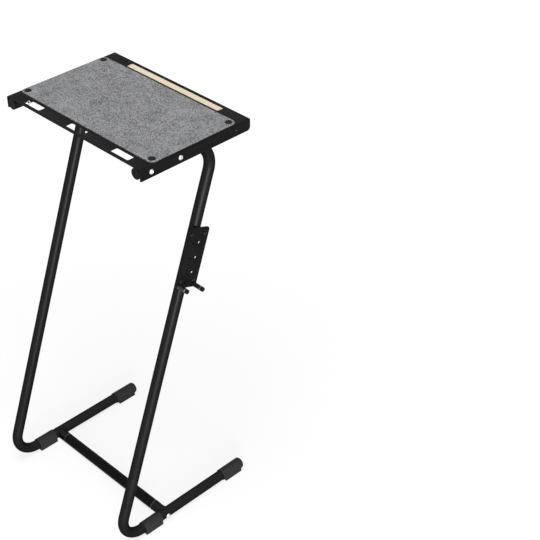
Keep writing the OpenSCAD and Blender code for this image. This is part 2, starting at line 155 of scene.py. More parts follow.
back = Vector((
    math.sin(AZIMUTH) * math.cos(ELEVATION),
    -math.cos(AZIMUTH) * math.cos(ELEVATION),
    math.sin(ELEVATION),
))
level = Vector((math.cos(AZIMUTH), math.sin(AZIMUTH), 0.0))
upward = back.cross(level)
right = math.cos(ROLL) * level + math.sin(ROLL) * upward
up = math.cos(ROLL) * upward - math.sin(ROLL) * level
turned = Matrix((right, up, back)).transposed().to_4x4()

lens = bpy.data.cameras.new("photo_camera")
lens.lens = LENS_MM
lens.sensor_width = SENSOR_MM
lens.clip_end = 50.0
camera = add_object("photo_camera", lens)
camera.matrix_world = Matrix.Translation(CAMERA_AT) @ turned
scene.camera = camera
print("camera distance to the desk:", round(CAMERA_AT.length, 3), "m")

# %% [markdown]
# ## Floor and light
#
# The desk stands on a white studio floor under large soft lamps. The air of the studio
# gives an even light from all sides, one wide lamp overhead gives the tubes their long soft
# highlight, and a second one in front lights the flanges and the feet. Together they come
# to about one on a level surface, so a colour renders as it is written. The floor glows a
# little to the eye only, which makes it white and still keeps the shadows of the tubes.

# %% View and studio air
scene.view_settings.view_transform = "Standard"
AIR_LIGHT = 0.15


def seen_directly(tree):
    """A value that is 1 for what the eye, a gloss or a clear material sees, and else 0."""
    rays = tree.nodes.new("ShaderNodeLightPath").outputs
    eye_or_gloss = add_math(tree, "MAXIMUM", rays["Is Camera Ray"], rays["Is Glossy Ray"])
    return add_math(tree, "MAXIMUM", eye_or_gloss, rays["Is Transmission Ray"])


air = bpy.data.worlds.new("studio_air")
air.use_nodes = True
scene.world = air
air_tree = air.node_tree
strength = add_range(air_tree, seen_directly(air_tree), 0.0, 1.0, AIR_LIGHT, 1.0)
feed(air_tree, air_tree.nodes["Background"], {"Color": (1, 1, 1), "Strength": strength})
print("studio air:", AIR_LIGHT)

# %% Lamps: name, place, target, size in metres, watts
LAMPS = [
    ("overhead_lamp", (0.3, -0.4, 4.2), (0.0, 0.0, 0.6), 2.4, 80.0),
    ("front_lamp", (3.6, -2.5, 0.8), (0.0, 0.0, 0.6), 1.5, 145.0),
]


def add_lamp(name, place, target, size, watts):
    """A square lamp at a place, turned to a target."""
    light = bpy.data.lights.new(name, "AREA")
    light.size = size
    light.energy = watts
    lamp = add_object(name, light)
    lamp.location = place
    lamp.rotation_euler = (Vector(target) - Vector(place)).to_track_quat("-Z", "Y").to_euler()
    return lamp


for lamp_facts in LAMPS:
    print(add_lamp(*lamp_facts).name)

# %% Floor
FLOOR_SIZE = 60.0
FLOOR_GREY, GLOW_NEAR, GLOW_FAR = 0.32, 0.81, 1.0
GLOW_STARTS, GLOW_ENDS = 0.9, 3.0


def build_floor():
    """A white floor that glows to the eye only, and more so further from the desk."""
    bm = bmesh.new()
    bmesh.ops.create_grid(bm, x_segments=2, y_segments=2, size=FLOOR_SIZE / 2)
    mesh = bpy.data.meshes.new("studio_floor")
    bm.to_mesh(mesh)
    bm.free()
    floor = add_object("studio_floor", mesh)
    paint, tree, shader = new_paint("studio_floor_white")
    away = tree.nodes.new("ShaderNodeVectorMath")
    away.operation = "LENGTH"
    feed(tree, away, {0: object_place(tree)})
    spread = add_range(tree, away.outputs["Value"], GLOW_STARTS, GLOW_ENDS, GLOW_NEAR, GLOW_FAR)
    feed(tree, shader, {
        "Base Color": (FLOOR_GREY, FLOOR_GREY, FLOOR_GREY), "Roughness": 0.9, "Specular IOR Level": 0.0,
        "Emission Color": (1, 1, 1),
        "Emission Strength": add_math(tree, "MULTIPLY", seen_directly(tree), spread),
    })
    mesh.materials.append(paint)
    return floor


print("floor:", build_floor().name)

# %% [markdown]
# ## Effects that several finishes share
#
# Powder coat, rubber, plastic and plated steel all show some fine unevenness, and every
# edge is painted lighter: a little worn coat, and a painted highlight where an edge would
# catch the light. Each such effect is made once, as a node group with named sockets, and
# each finish then places the group with its own sizes and colours. The groups read the
# place on the object, so a pattern keeps its real size on every piece.


# %% A helper for node groups
def new_group(name, inputs, outputs):
    """A shader node group with named sockets. Returns the tree and its two end nodes."""
    tree = bpy.data.node_groups.new(name, "ShaderNodeTree")
    for socket, kind, default in inputs:
        made = tree.interface.new_socket(socket, in_out="INPUT", socket_type="NodeSocket" + kind)
        if default is not None:
            made.default_value = default
    for socket, kind in outputs:
        tree.interface.new_socket(socket, in_out="OUTPUT", socket_type="NodeSocket" + kind)
    return tree, tree.nodes.new("NodeGroupInput"), tree.nodes.new("NodeGroupOutput")


print("group helper ready")

# %% Worn edges and painted edge highlight: 1 where the surface turns sharply, broken up by a noise
EDGE_MASK_STARTS, EDGE_MASK_FULL = 0.995, 0.80

worn_and_lit, worn_and_lit_in, worn_and_lit_out = new_group(
    "worn_and_lit_edges",
    [("Vector", "Vector", None), ("Edge Width", "Float", 0.001), ("Break Up", "Float", 250.0)],
    [("Mask", "Float")],
)
# This mask marks every sharp edge for a lighter colour: a little worn coat, and a painted highlight.
rounded = worn_and_lit.nodes.new("ShaderNodeBevel")
rounded.samples = 4
feed(worn_and_lit, rounded, {"Radius": worn_and_lit_in.outputs["Edge Width"]})
flat_way = worn_and_lit.nodes.new("ShaderNodeNewGeometry")
likeness = worn_and_lit.nodes.new("ShaderNodeVectorMath")
likeness.operation = "DOT_PRODUCT"
feed(worn_and_lit, likeness, {0: rounded.outputs["Normal"], 1: flat_way.outputs["Normal"]})
sharpness = add_range(worn_and_lit, likeness.outputs["Value"], EDGE_MASK_STARTS, EDGE_MASK_FULL, 0.0, 1.0)
broken = add_noise(worn_and_lit, worn_and_lit_in.outputs["Vector"], worn_and_lit_in.outputs["Break Up"], 3.0)
patches = add_range(worn_and_lit, broken, 0.35, 0.6, 0.25, 1.0)
feed(worn_and_lit, worn_and_lit_out, {"Mask": add_math(worn_and_lit, "MULTIPLY", sharpness, patches)})
print("group:", worn_and_lit.name)

# %% Pebbled skin: the fine bumps of powder coat, rubber, plastic and plating
BROAD_PER_METRE = 14.0

pebble, pebble_in, pebble_out = new_group(
    "pebbled_skin",
    [
        ("Vector", "Vector", None),
        ("Pebbles per Metre", "Float", 900.0),
        ("Roughness", "Float", 0.5),
        ("Unevenness", "Float", 0.08),
    ],
    [("Height", "Float"), ("Roughness", "Float"), ("Shade", "Float")],
)
fine = add_noise(pebble, pebble_in.outputs["Vector"], pebble_in.outputs["Pebbles per Metre"], 2.0, 0.6)
broad = add_noise(pebble, pebble_in.outputs["Vector"], BROAD_PER_METRE, 3.0, 0.5)
off_middle = add_math(pebble, "SUBTRACT", broad, 0.5)
shift = add_math(pebble, "MULTIPLY", off_middle, pebble_in.outputs["Unevenness"])
uneven_gloss = add_math(pebble, "MULTIPLY", shift, 2.0)
roughness = add_math(pebble, "ADD", pebble_in.outputs["Roughness"], uneven_gloss)
shades = add_range(pebble, add_math(pebble, "ADD", fine, shift), 0.3, 0.7, 0.0, 1.0)
feed(pebble, pebble_out, {"Height": fine, "Roughness": roughness, "Shade": shades})
print("group:", pebble.name)


# %% [markdown]
# ## Coated and moulded finishes
#
# The tubes and the folded top have a satin black powder coat, which is a plastic baked onto
# steel: nearly black, with a faint pebble and a weak, wide gloss. The feet, plugs and caps
# are rubber and plastic in the same black, but duller. One recipe makes them all, with
# different colours, bump sizes and gloss. The crossbar's coat is darker than the tubes' as
# painted shade; the other differences are how the parts differ in truth. The tubes' coat
# also has fine metal flakes in it, which make its highlight long and soft.


# %% One recipe for every pebbled finish
def place_group(tree, group, values):
    """A node group placed in a material, with its values by socket name."""
    node = tree.nodes.new("ShaderNodeGroup")
    node.node_tree = group
    feed(tree, node, values)
    return node


def add_bump(tree, height, shader, depth, strength):
    """A bump of a real depth in metres."""
    bump = tree.nodes.new("ShaderNodeBump")
    feed(tree, bump, {"Height": height, "Distance": depth, "Strength": strength})
    feed(tree, shader, {"Normal": bump.outputs["Normal"]})


def pebbled_paint(name, dark, light, edge_wear_and_highlight, rough, pebbles, depth, edge, uneven, strength, gloss_values):
    """Two shades in a pebble and a third on edges, as wear and a painted highlight, with a gloss by socket
    name.
    """
    paint, tree, shader = new_paint(name)
    place = object_place(tree)
    skin = place_group(tree, pebble, {
        "Vector": place, "Pebbles per Metre": pebbles, "Roughness": rough, "Unevenness": uneven
    })
    edges = place_group(tree, worn_and_lit, {"Vector": place, "Edge Width": edge})
    body = add_mix(tree, skin.outputs["Shade"], dark, light)
    # Edges take the third colour: worn coat, and a painted highlight.
    colour = add_mix(tree, edges.outputs["Mask"], body, edge_wear_and_highlight)
    feed(tree, shader, {"Base Color": colour, "Roughness": skin.outputs["Roughness"], **gloss_values})
    add_bump(tree, skin.outputs["Height"], shader, depth, strength)
    return paint


print("recipe ready, groups:", worn_and_lit.name, pebble.name)

# %% Black finishes
FLAKE_EDGE = (0.42, 0.42, 0.42)
COAT_BUMP = 0.6


def coated(name, dark, light, edge_wear_and_highlight, rough, gloss, pebbles, depth, edge=0.0009, uneven=0.08, flake=0.0):
    """A black finish, with a share of metal flake where the coat has it."""
    shine = {"Specular IOR Level": gloss, "Metallic": flake}
    if flake:
        shine["Specular Tint"] = FLAKE_EDGE
    return pebbled_paint(name, dark, light, edge_wear_and_highlight, rough, pebbles, depth, edge, uneven, COAT_BUMP, shine)


# The third colour of each finish goes on its edges: worn coat and a painted highlight.
FINISHES = {
    "coated_tube": coated(
        "black_coat_tube", (0.015, 0.015, 0.0154), (0.0225, 0.0225, 0.023), (0.05, 0.05, 0.051),
        rough=0.43, gloss=0.0, pebbles=700, depth=0.00008, flake=0.85,
    ),
    # A darker copy of the tubes' black coat, standing for the shade on the crossbar: painted shade.
    "shaded_crossbar_coat": coated(
        "black_coat_crossbar_shaded", (0.004, 0.004, 0.0045), (0.010, 0.010, 0.0105), (0.03, 0.03, 0.031),
        rough=0.5, gloss=0.04, pebbles=700, depth=0.00010,
    ),
    "coated_sheet": coated(
        "black_coat_sheet", (0.004, 0.004, 0.0044), (0.012, 0.012, 0.0125), (0.05, 0.05, 0.052),
        rough=0.55, gloss=0.05, pebbles=650, depth=0.00014,
    ),
    "plastic_plug": coated(
        "moulded_plug_black", (0.003, 0.003, 0.0031), (0.007, 0.007, 0.0072), (0.04, 0.04, 0.04),
        rough=0.4, gloss=0.05, pebbles=1100, depth=0.00006,
    ),
    "rubber_foot": coated(
        "moulded_rubber_black", (0.032, 0.032, 0.033), (0.052, 0.052, 0.053), (0.08, 0.08, 0.08),
        rough=0.7, gloss=0.08, pebbles=800, depth=0.00014, uneven=0.14,
    ),
    "stud": coated(
        "stud_cap_black", (0.012, 0.012, 0.0125), (0.020, 0.020, 0.0205), (0.05, 0.05, 0.05),
        rough=0.5, gloss=0.04, pebbles=1200, depth=0.00005,
    ),
    "spacer": coated(
        "spacer_black", (0.006, 0.006, 0.006), (0.01, 0.01, 0.01), (0.03, 0.03, 0.03),
        rough=0.6, gloss=0.1, pebbles=900, depth=0.00008,
    ),
    "black_screw": coated(
        "blackened_screw", (0.002, 0.002, 0.0021), (0.005, 0.005, 0.0052), (0.09, 0.09, 0.092),
        rough=0.3, gloss=0.24, pebbles=1500, depth=0.00004, edge=0.0005,
    ),
    "peg": coated(
        "black_coat_peg", (0.010, 0.010, 0.0103), (0.018, 0.018, 0.0185), (0.08, 0.08, 0.08),
        rough=0.32, gloss=0.4, pebbles=900, depth=0.00008,
    ),
    "peg_cap": coated(
        "peg_cap_rubber", (0.006, 0.006, 0.006), (0.012, 0.012, 0.012), (0.03, 0.03, 0.03),
        rough=0.6, gloss=0.1, pebbles=900, depth=0.00008,
    ),
}
print("black finishes:", sorted(FINISHES))

# %% [markdown]
# ## Bright steel
#
# The frame bolts and nuts are zinc-plated steel. Plating is a thin bright skin over a
# turned surface: pale, and a little uneven in shade and gloss. The colour of a metal is the
# colour of its reflection, so the whole look comes from the base colour, full metal and an
# uneven roughness. The crossbar's rings and the screws of the wooden bar are the same steel
# in darker shades; the rings' grey also stands for the light line where the tube ends meet,
# as a painted highlight.

# %% Zinc on steel
STEEL_GRAINS, STEEL_DEPTH, STEEL_EDGE = 2200, 0.00003, 0.0004
STEEL_UNEVEN, STEEL_BUMP = 0.2, 0.5


def bright_steel(name, dark, light, rough, edge_wear_and_highlight=(0.9, 0.9, 0.9)):
    """Plated steel: two shades, a brighter one on its edges as wear and a painted highlight, and a fine
    uneven gloss.
    """
    return pebbled_paint(
        name, dark, light, edge_wear_and_highlight, rough, STEEL_GRAINS, STEEL_DEPTH, STEEL_EDGE, STEEL_UNEVEN, STEEL_BUMP,
        {"Metallic": 1.0},
    )


FINISHES["bright_bolt"] = bright_steel("zinc_plated_bolt", (0.62, 0.63, 0.65), (0.8, 0.81, 0.82), 0.28)
FINISHES["zinc_screw"] = bright_steel("zinc_plated_screw", (0.42, 0.43, 0.45), (0.62, 0.63, 0.65), 0.34)
# The rings' grey is partly a painted highlight: the light line at the crossbar's joints.
FINISHES["dull_ring"] = bright_steel(
    "dull_steel_ring", (0.06, 0.06, 0.063), (0.12, 0.12, 0.125), 0.5, (0.2, 0.2, 0.21)
)
FINISHES["dark_screw"] = bright_steel(
    "darkened_zinc_screw", (0.03, 0.03, 0.032), (0.08, 0.08, 0.084), 0.3, (0.35, 0.35, 0.36)
)
print("steel finishes ready")

# %% [markdown]
# ## Pale maple
#
# The bar under the top is one strip of maple, with its grain along its length. Wood is a
# stack of growth rings, so the pattern is a solid one: rings about a far-away axis that
# runs along the bar, bent by a slow noise and crossed by short fine pores. Cut along the
# grain it gives long streaks, and cut across it, at the ends, it gives the rings
# themselves, without any extra work.

# %% Maple
RING_AXIS, GRAIN_STRETCH = (0.0, -0.10, -0.98), (0.06, 1.0, 1.0)
RINGS_PER_METRE, PORES_PER_METRE, FLECK_SHARE = 70.0, 900.0, 0.4
PALE_MAPLE, WARM_MAPLE, FLECK_BROWN = (1.0, 0.90, 0.71), (0.98, 0.81, 0.59), (0.72, 0.50, 0.30)


def maple_wood():
    """Pale maple with its rings, pores and flecks."""
    paint, tree, shader = new_paint("oiled_maple")
    along = tree.nodes.new("ShaderNodeMapping")
    feed(tree, along, {"Vector": object_place(tree), "Location": RING_AXIS, "Scale": GRAIN_STRETCH})
    rings = tree.nodes.new("ShaderNodeTexWave")
    rings.wave_type = "RINGS"
    rings.rings_direction = "X"
    feed(tree, rings, {
        "Vector": along.outputs["Vector"], "Scale": RINGS_PER_METRE,
        "Distortion": 3.0, "Detail": 3.0, "Detail Scale": 1.6,
    })
    pores = add_noise(tree, along.outputs["Vector"], PORES_PER_METRE, 3.0, 0.6)
    flecks = add_math(tree, "MULTIPLY", add_range(tree, pores, 0.56, 0.72, 0.0, 1.0), FLECK_SHARE)
    body = add_mix(tree, rings.outputs["Fac"], PALE_MAPLE, WARM_MAPLE)
    feed(tree, shader, {
        "Base Color": add_mix(tree, flecks, body, FLECK_BROWN), "Specular IOR Level": 0.3,
        "Roughness": add_range(tree, pores, 0.3, 0.7, 0.44, 0.62),
    })
    add_bump(tree, pores, shader, 0.00008, 0.5)
    return paint


FINISHES["maple"] = maple_wood()
print("wood:", FINISHES["maple"].name)

# %% [markdown]
# ## Grey wool felt
#
# The mat is pressed felt of pale and dark grey fibres. Nothing in felt is woven: short
# fibres lie in every direction and clump, so the look is a fine mottle with loose light and
# dark threads, and it has no gloss but a soft sheen. A slow noise carries the drifts of
# paler and darker wool, and a fine one the clumps. Four stretched ones, each lying another
# way, carry the tufts, and four finer ones the single threads: where two cross, the higher
# one shows the pale wool and the lower the dark.

# %% Felt
DRIFTS_PER_METRE, CLUMPS_PER_METRE, TUFTS_PER_METRE, FIBRES_PER_METRE = 31.0, 360.0, 560.0, 1300.0
DRIFT_SHARE, CLUMP_SHARE, TUFT_SHARE = 0.07, 0.57, 0.18
FIBRE_WAYS, FIBRE_STRETCH = (24.0, -51.0, 77.0, -8.0), (0.2, 1.0, 1.0)
DARK_WOOL, PALE_WOOL = (0.050, 0.0509, 0.0531), (0.55, 0.555, 0.569)
DARK_FIBRE, PALE_FIBRE = (0.07, 0.07, 0.072), (0.62, 0.62, 0.63)


def wool_felt():
    """Mottled wool felt, from its drifts down to its single fibres."""
    paint, tree, shader = new_paint("grey_wool_felt")
    place = object_place(tree)
    drifts = add_noise(tree, place, DRIFTS_PER_METRE, 2.0, 0.5)
    clumps = add_noise(tree, place, CLUMPS_PER_METRE, 4.0, 0.65, 0.9)
    tufts, fibres = [], []
    for turn_deg in FIBRE_WAYS:
        lay = tree.nodes.new("ShaderNodeMapping")
        turned_by = (0.0, 0.0, math.radians(turn_deg))
        feed(tree, lay, {"Vector": place, "Rotation": turned_by, "Scale": FIBRE_STRETCH})
        tufts.append(add_noise(tree, lay.outputs["Vector"], TUFTS_PER_METRE, 4.0, 0.6, 1.8))
        fibres.append(add_noise(tree, lay.outputs["Vector"], FIBRES_PER_METRE, 2.0, 0.5, 1.2))
    on_top = add_math(tree, "MAXIMUM", fibres[0], fibres[1])
    below = add_math(tree, "MINIMUM", fibres[2], fibres[3])
    pale_tufts = add_math(tree, "MAXIMUM", tufts[0], tufts[1])
    dark_tufts = add_math(tree, "MINIMUM", tufts[2], tufts[3])
    mottle = 0.0
    for layer, share in (
        (drifts, DRIFT_SHARE), (clumps, CLUMP_SHARE), (pale_tufts, TUFT_SHARE), (dark_tufts, TUFT_SHARE)
    ):
        mottle = add_math(tree, "ADD", mottle, add_math(tree, "MULTIPLY", layer, share))
    shade = add_range(tree, mottle, 0.445, 0.555, 0.0, 1.0)
    wool = add_mix(tree, shade, DARK_WOOL, PALE_WOOL)
    darker = add_mix(tree, add_range(tree, below, 0.44, 0.26, 0.0, 0.75), wool, DARK_FIBRE)
    fuzzy = add_mix(tree, add_range(tree, on_top, 0.58, 0.74, 0.0, 0.85), darker, PALE_FIBRE)
    feed(tree, shader, {
        "Base Color": fuzzy, "Roughness": add_range(tree, shade, 0.0, 1.0, 0.98, 0.85),
        "Specular IOR Level": 0.1, "Sheen Weight": 0.15, "Sheen Roughness": 0.6,
    })
    height = add_math(tree, "ADD", on_top, add_math(tree, "ADD", below, shade))
    add_bump(tree, height, shader, 0.0005, 0.7)
    return paint


FINISHES["felt"] = wool_felt()
print("felt:", FINISHES["felt"].name)

# %% [markdown]
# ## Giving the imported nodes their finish
#
# The stubs, the crossbar, its rings, the spacers, washers and ears are right as they are
# packed, so they stay and only take their finish. Every other node is replaced below by a
# piece with finer edges or a fuller form.

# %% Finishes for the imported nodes
NODE_FINISH = {
    "stub_left": "coated_tube", "stub_right": "coated_tube",
    # The crossbar takes the darker coat that paints its shade.
    "crossbar": "shaded_crossbar_coat",
    "crossbar_ring_left": "dull_ring", "crossbar_ring_right": "dull_ring",
    "flange_washers_left": "bright_bolt", "flange_washers_right": "bright_bolt",
    "flange_spacers_left": "spacer", "flange_spacers_right": "spacer",
    "plate_ears": "coated_tube",
}
for node_name, finish in NODE_FINISH.items():
    mesh = nodes[node_name].data
    mesh.materials.clear()
    mesh.materials.append(FINISHES[finish])
print("nodes that keep their packed shape:", len(NODE_FINISH))

# %% [markdown]
# ## Tools for making pieces
#
# Most small parts of the desk are turned or stamped: screws, nuts, plugs, pegs and caps.
# They are made as a stack of rings, each round or six-sided, and each drawn out of the one
# before it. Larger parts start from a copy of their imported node. The copy's loose triangles
# are merged, its flat faces are joined, and its sharp edges are bevelled. Sizes are written
# in millimetres, as on a workshop drawing, and the helpers turn them into metres.


# %% Finish a piece: make its object, give it a coat and fix it to the desk
def make_piece(name, bm, slot, stands_for=(), smooth_deg=32.0, paint=None):
    """Turns a bmesh into a piece of the desk. Its place is in its mesh."""
    mesh = bpy.data.meshes.new(name)
    bm.normal_update()
    bm.to_mesh(mesh)
    bm.free()
    mesh.materials.append(paint or FINISHES[slot])
    mesh.shade_smooth()
    mesh.set_sharp_from_angle(angle=math.radians(smooth_deg))
    piece = add_object(name, mesh)
    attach(piece, "root")
    if stands_for:
        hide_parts(*stands_for)
    print(f"{name}: {len(mesh.polygons)} faces, {[round(d / MM, 1) for d in piece.dimensions]} mm")
    return piece


# %% Rings and stacks
def edges_of(corners):
    """Every edge that ends at one of these corners, each once, in the same order each run."""
    return list(dict.fromkeys(edge for corner in corners for edge in corner.link_edges))


def turn_outwards(bm, corners):
    """Makes the faces at these corners point out of their solid."""
    faces = list(dict.fromkeys(face for corner in corners for face in corner.link_faces))
    bmesh.ops.recalc_face_normals(bm, faces=faces)


def lift_ring(bm, edges):
    """Extrudes a ring of edges in place. Returns the new ring's corners and edges."""
    geometry = bmesh.ops.extrude_edge_only(bm, edges=edges)["geom"]
    corners = [item for item in geometry if isinstance(item, bmesh.types.BMVert)]
    ring = set(corners)
    return corners, [edge for edge in edges_of(corners) if ring.issuperset(edge.verts)]


def shape_ring(corners, radius, height, sides=0, droop=0.0):
    """Puts a ring's corners on a circle or a polygon, whose radius is to its flats."""
    for corner in corners:
        angle = math.atan2(corner.co.y, corner.co.x)
        reach = radius
        if sides:
            off_flat = (angle + math.pi / sides) % (math.tau / sides) - math.pi / sides
            reach = radius / math.cos(off_flat)
        corner.co = (reach * math.cos(angle), reach * math.sin(angle), height - droop * (reach - radius))


def add_stack(bm, place, rings, steps=24, closed=False):
    """A solid from a stack of rings (radius, height, sides, droop), in millimetres."""
    corners = bmesh.ops.create_circle(bm, cap_ends=not closed, segments=steps, radius=1.0)["verts"]
    edges = edges_of(corners)
    made = list(corners)
    shape_ring(corners, *rings[0])
    for ring in rings[1:] + (rings[:1] if closed else []):
        corners, edges = lift_ring(bm, edges)
        shape_ring(corners, *ring)
        made += corners
    if closed:
        bmesh.ops.remove_doubles(bm, verts=made, dist=1e-4)
        made = [corner for corner in made if corner.is_valid]
    else:
        bmesh.ops.edgeloop_fill(bm, edges=edges)
    turn_outwards(bm, made)
    bmesh.ops.transform(bm, matrix=place @ Matrix.Scale(MM, 4), verts=made)


print("stacks ready: rings of corners, each drawn out of the last")


# %% Places, turns and arcs
def at(x, y, z):
    """A place given in millimetres."""
    return Matrix.Translation(Vector((x, y, z)) * MM)


def box_mm(node_name):
    """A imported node's lowest and highest corners in millimetres."""
    low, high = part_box(node_name)
    return low / MM, high / MM


def spin(angle_deg, axis="Z"):
    """A turn about an axis, in degrees."""
    return Matrix.Rotation(math.radians(angle_deg), 4, axis)


SIDES = (("left", -1), ("right", 1))


def seat(side, out, y, z, spin_deg=0.0):
    """The seat of a screw or nut on one side of the desk: facing outwards, spun on its axis."""
    return at(side * out, y, z) @ spin(side * 90, "Y") @ spin(spin_deg)


def arc(centre_r, centre_z, radius, start_deg, end_deg, count):
    """Points (radius, height) of an arc in a turned outline."""
    spans = [math.radians(start_deg + (end_deg - start_deg) * i / count) for i in range(count + 1)]
    return [(centre_r + radius * math.cos(a), centre_z + radius * math.sin(a)) for a in spans]


print("sides:", SIDES)

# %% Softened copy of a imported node
SAME_CORNER, SAME_FLAT_DEG, SHARP_DEG = 0.002, 0.4, 28.0


def softened(node_name, radius, reshape=None):
    """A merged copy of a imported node, reshaped if asked, its sharp edges rounded."""
    bm = bmesh.new()
    bm.from_mesh(nodes[node_name].data)
    bmesh.ops.remove_doubles(bm, verts=bm.verts, dist=SAME_CORNER * MM)
    bmesh.ops.dissolve_limit(
        bm, angle_limit=math.radians(SAME_FLAT_DEG), use_dissolve_boundaries=False,
        verts=bm.verts, edges=bm.edges,
    )
    if reshape:
        reshape(bm)
    sharp = [
        edge for edge in bm.edges
        if len(edge.link_faces) == 2 and edge.calc_face_angle(0.0) > math.radians(SHARP_DEG)
    ]
    bmesh.ops.bevel(
        bm, geom=sharp, offset=radius * MM, offset_type="OFFSET", segments=3, profile=0.5,
        affect="EDGES", clamp_overlap=True, material=-1,
    )
    return bm


print("edges are rounded where faces turn by more than", SHARP_DEG, "degrees")

# %% [markdown]
# ## The bent tubes
#
# Each side of the desk is one steel tube with two bends: a runner on the floor, an upright
# that leans to the rider, and a bar under the top. A bender keeps the tube round, so the
# mesh is made the same way. A ring of corners at the runner's end is drawn out straight,
# spun about the bend's centre, drawn out along the upright, spun back, and drawn out again.

# %% Bent tubes
LEAN = math.radians(20.1)
FRAME_X, HEEL_Y, RUNNER_Z = 232.1, -264.0, 16.3
TUBE_R, BEND_R = 14.3, 60.0
TUBE_STEPS, BEND_STEPS = 56, 36
PLUG_RIM = 2.0
turn_angle = math.radians(90) + LEAN
tangent = BEND_R * math.tan(turn_angle / 2)
frame_high = box_mm("frame_right")[1]
TOP_BAR_Z = frame_high.z - TUBE_R
upright_length = (TOP_BAR_Z - RUNNER_Z) / math.cos(LEAN)


def bend_on(bm, edges, centre, angle):
    """Spins the tube's open end about the x axis through a centre."""
    geometry = edges + list(dict.fromkeys(corner for edge in edges for corner in edge.verts))
    last = bmesh.ops.spin(
        bm, geom=geometry, cent=centre, axis=(1, 0, 0), dvec=(0, 0, 0), angle=angle, steps=BEND_STEPS,
        use_merge=False, use_normal_flip=False, use_duplicate=False,
    )["geom_last"]
    return [item for item in last if isinstance(item, bmesh.types.BMEdge)]


def draw_out(bm, edges, way):
    """Draws the tube's open end out straight."""
    corners, fresh = lift_ring(bm, edges)
    bmesh.ops.translate(bm, vec=way, verts=corners)
    return fresh


def tube_mesh(side):
    """One side's tube, from the runner's end to the plug in the bar under the top."""
    bm = bmesh.new()
    start = Matrix.Translation((side * FRAME_X, frame_high.y, RUNNER_Z))
    ring = bmesh.ops.create_circle(
        bm, cap_ends=True, segments=TUBE_STEPS, radius=TUBE_R, matrix=start @ spin(90, "X")
    )["verts"]
    edges = edges_of(ring)
    heel_start, shoulder = HEEL_Y + tangent, HEEL_Y + upright_length * math.sin(LEAN) - tangent
    edges = draw_out(bm, edges, (0, heel_start - frame_high.y, 0))
    edges = bend_on(bm, edges, (0, heel_start, RUNNER_Z + BEND_R), -turn_angle)
    reach = upright_length - 2 * tangent
    edges = draw_out(bm, edges, (0, reach * math.sin(LEAN), reach * math.cos(LEAN)))
    edges = bend_on(bm, edges, (0, shoulder, TOP_BAR_Z - BEND_R), turn_angle)
    plug_end = box_mm("top_bar_plug_right")[0].y + PLUG_RIM
    edges = draw_out(bm, edges, (0, plug_end - shoulder, 0))
    bmesh.ops.edgeloop_fill(bm, edges=edges)
    bmesh.ops.recalc_face_normals(bm, faces=bm.faces)
    bmesh.ops.scale(bm, vec=(MM, MM, MM), verts=bm.verts)
    return bm


for word, side in SIDES:
    make_piece(f"bent_tube_{word}", tube_mesh(side), "coated_tube", [f"frame_{word}"])
print("upright:", round(upright_length), "mm along its centre line")

# %% [markdown]
# ## Welds
#
# Where the crossbar's stubs meet the runners, a row of small overlapping puddles of weld
# closes the joint under the coat. A bead is a thin round rope along the joint whose
# thickness rises and falls with each puddle, so it is a ring drawn along the joint's curve
# and made thicker and thinner as it goes. The saddle curve is followed a little above the
# tube, and its sharp turns at the sides are rounded off, because molten steel pools there.

# %% A rippled bead
BEAD_R, PUDDLE, THINNEST, RIPPLE, BEAD_STEPS = 1.5, 3.4, 0.86, 0.2, 8


def add_bead(bm, points):
    """A closed bead of weld along points in millimetres, with one ripple for each puddle."""
    places = []
    run = 0.0
    for i, point in enumerate(points):
        before, after = points[i - 1], points[(i + 1) % len(points)]
        run += (point - before).length if i else 0.0
        thick = BEAD_R * (THINNEST + RIPPLE * abs(math.sin(math.pi * run / PUDDLE)))
        turn_to = (after - before).to_track_quat("Z", "X").to_matrix().to_4x4()
        places.append(Matrix.Translation(point) @ turn_to @ Matrix.Scale(thick, 4))
    corners = bmesh.ops.create_circle(bm, segments=BEAD_STEPS, radius=1.0)["verts"]
    edges = edges_of(corners)
    made = list(corners)
    bmesh.ops.transform(bm, matrix=places[0], verts=corners)
    for last, place in zip(places, places[1:] + places[:1]):
        corners, edges = lift_ring(bm, edges)
        bmesh.ops.transform(bm, matrix=place @ last.inverted(), verts=corners)
        made += corners
    bmesh.ops.remove_doubles(bm, verts=made, dist=1e-3)
    turn_outwards(bm, [corner for corner in made if corner.is_valid])


print("weld bead:", 2 * BEAD_R, "mm thick, one puddle every", PUDDLE, "mm")

# %% Weld beads
BEAD_ABOVE, BEAD_OUT, POOLED, BEAD_POINTS = 0.3, 0.5, 0.12, 144
stub_low, stub_high = box_mm("stub_right")
STUB_Y = (stub_low.y + stub_high.y) / 2


def weld_mesh():
    """The two beads where the crossbar's stubs meet the runners."""
    bm = bmesh.new()
    reach = TUBE_R + BEAD_ABOVE
    for _, side in SIDES:
        joint = []
        for i in range(BEAD_POINTS):
            around = math.tau * i / BEAD_POINTS
            out = TUBE_R * math.hypot(math.cos(around), POOLED) + BEAD_OUT
            y, z = STUB_Y + reach * math.cos(around), RUNNER_Z + reach * math.sin(around)
            joint.append(Vector((side * (FRAME_X - out), y, z)))
        add_bead(bm, joint)
    bmesh.ops.scale(bm, vec=(MM, MM, MM), verts=bm.verts)
    return bm


make_piece("weld_beads", weld_mesh(), "coated_tube", smooth_deg=60.0)

# %% [markdown]
# ## The folded top
#
# The top is one steel sheet, folded down along its two sides and its nose. The three slots
# near the plain edge take straps, and the long one near the nose opens over the groove in
# the wood. A cut sheet has crisp but not knife-sharp edges, and the coat rounds them a
# little more, which is what makes their thin light lines. The fold along the nose is
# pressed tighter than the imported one, so its corners are drawn out to a smaller circle.

# %% Folded top
NOSE_FOLD, TIGHT_FOLD = 9.0, 4.0
SHEET_EDGE = 0.45
top_high = box_mm("tabletop")[1]


